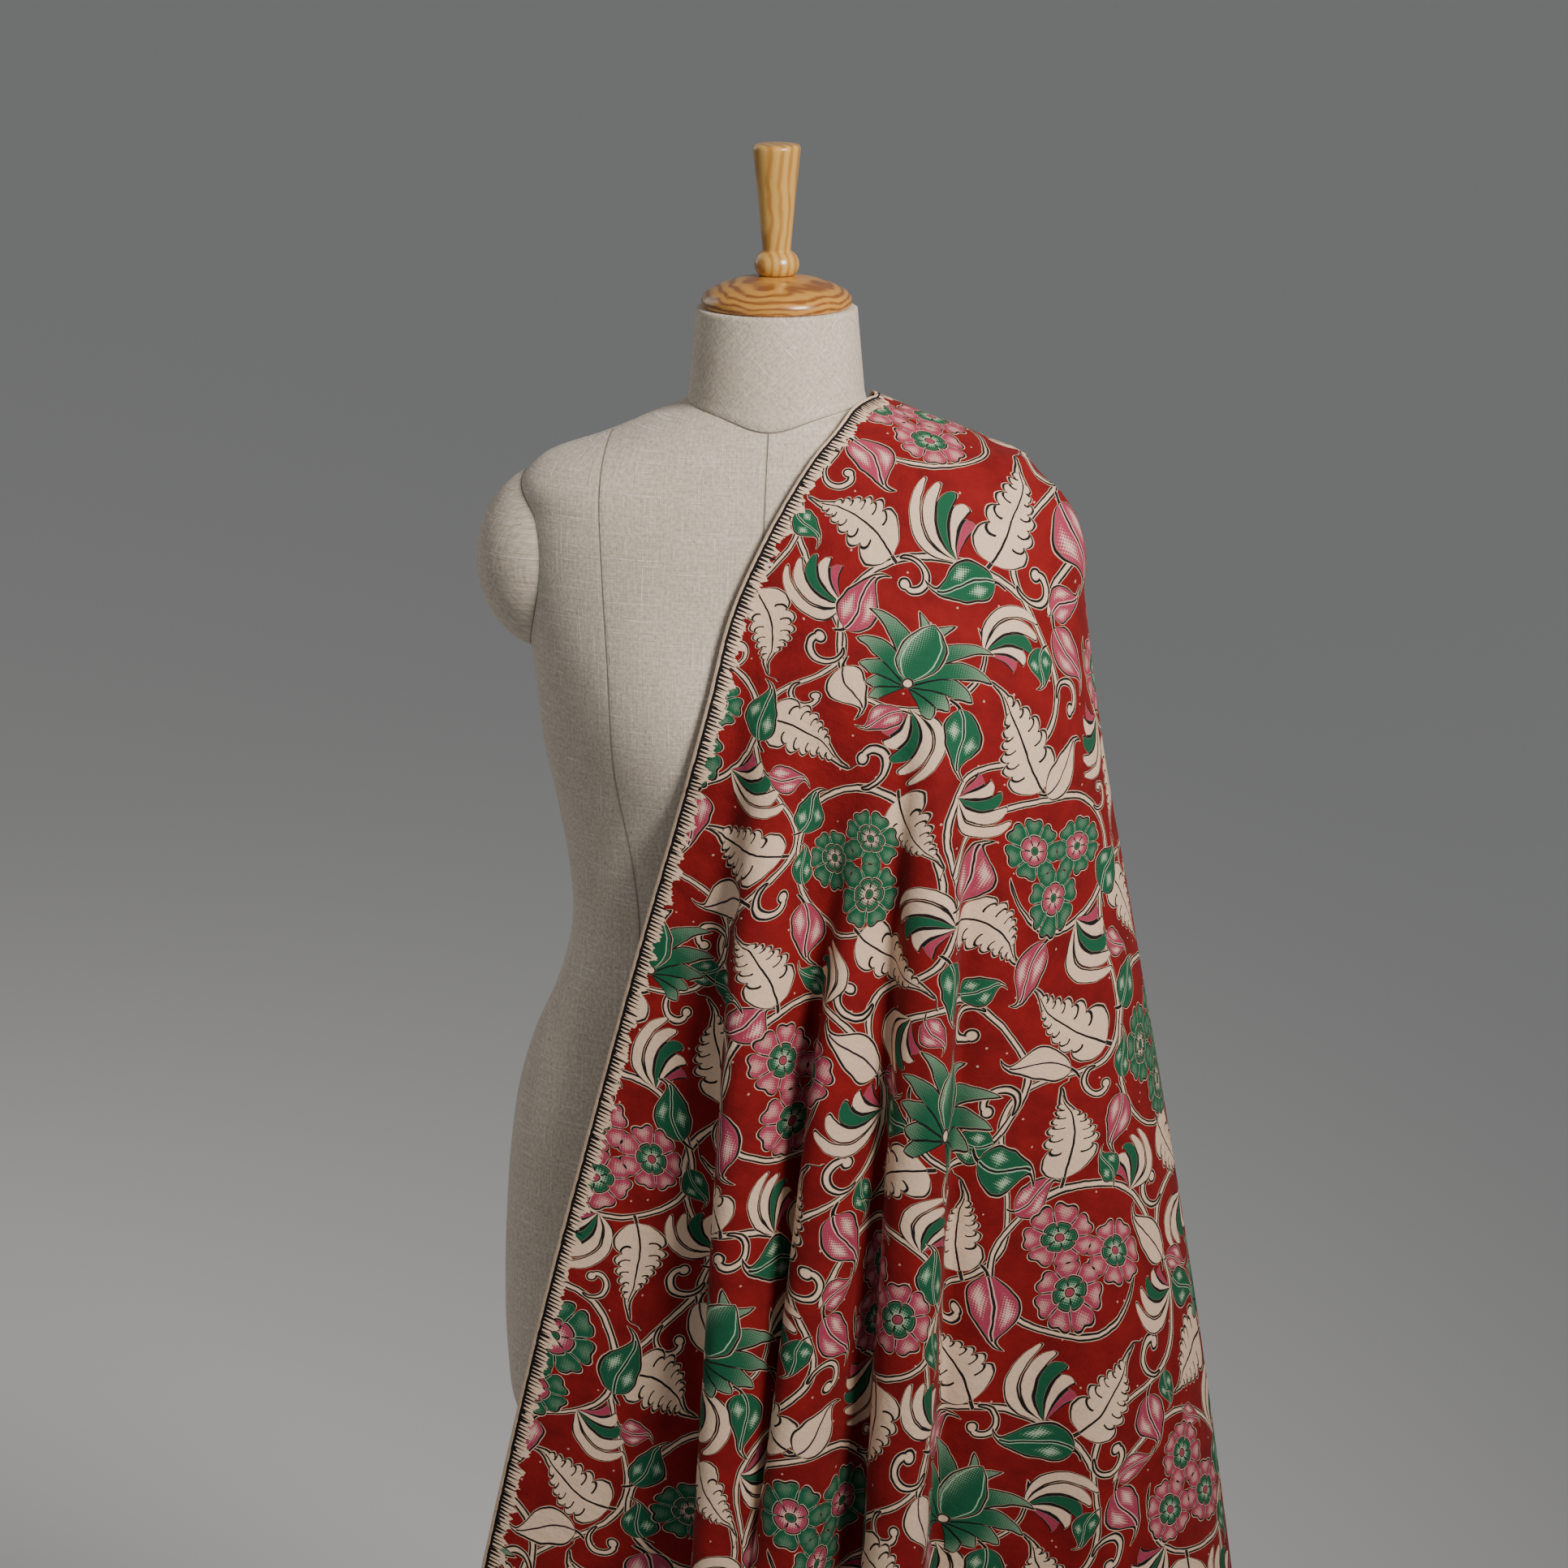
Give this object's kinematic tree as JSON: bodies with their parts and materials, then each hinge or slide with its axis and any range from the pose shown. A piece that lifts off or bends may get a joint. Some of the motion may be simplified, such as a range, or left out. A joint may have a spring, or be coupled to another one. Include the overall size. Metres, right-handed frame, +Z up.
{
  "type": "kalamkari fabric draped on a dress form",
  "caption": "Printed kalamkari cotton length draped over one shoulder of a linen dress form with a turned wooden neck cap, on a round-footed stand.",
  "frame": {"origin": "middle of the underside of the stand's round foot", "axes": "+Z up along the stand; the form faces -Y, and the cloth lies on its left shoulder, at +X"},
  "size_m": [0.5928, 0.4296, 1.5815],
  "materials": {
    "printed_cotton": "block-printed red cotton with cream, green and pink flowers and leaves",
    "linen": "natural slubbed linen",
    "varnished_wood": "clear satin varnish",
    "dark_metal": "satin black"
  },
  "bodies": {
    "root": {"kalamkari_cloth": "printed_cotton", "form_torso": "linen", "form_neck": "linen", "form_arm_left": "linen", "form_arm_right": "linen", "neck_cap": "varnished_wood", "finial": "varnished_wood", "stand_pole": "dark_metal", "stand_base": "dark_metal"}
  },
  "joints": []
}
